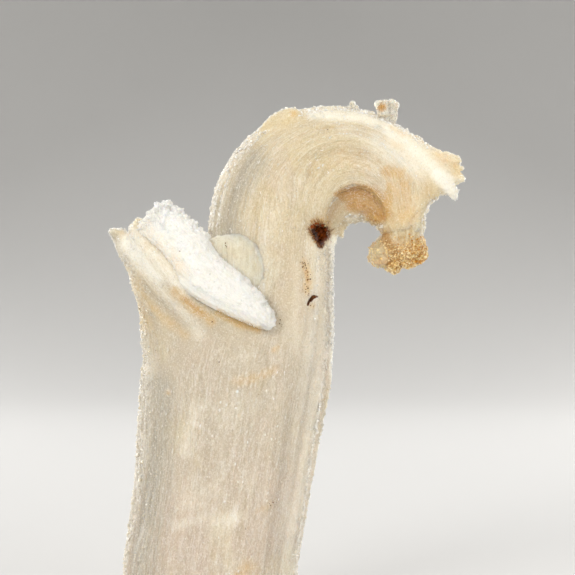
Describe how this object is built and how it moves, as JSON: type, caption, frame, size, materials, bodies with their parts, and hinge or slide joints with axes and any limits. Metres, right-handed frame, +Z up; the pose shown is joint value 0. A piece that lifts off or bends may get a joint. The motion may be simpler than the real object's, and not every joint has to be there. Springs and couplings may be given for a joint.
{
  "type": "gypsum curl crystal",
  "caption": "Natural curl of fibrous gypsum, a ram's horn: a broad fibrous stem whose right side arches over into a hook with a granular knob, beside a broken stub.",
  "frame": {"origin": "middle of the flat cut across the bottom of the stem, which the crystal stands on", "axes": "+Z up along the stem, +X towards the tip of the curl, -Y towards the viewer, on the side with the blades"},
  "size_m": [0.0699, 0.0245, 0.1028],
  "materials": {
    "gypsum": "milky, silky, fibrous"
  },
  "bodies": {
    "root": {"gypsum_curl": "gypsum"}
  },
  "joints": []
}
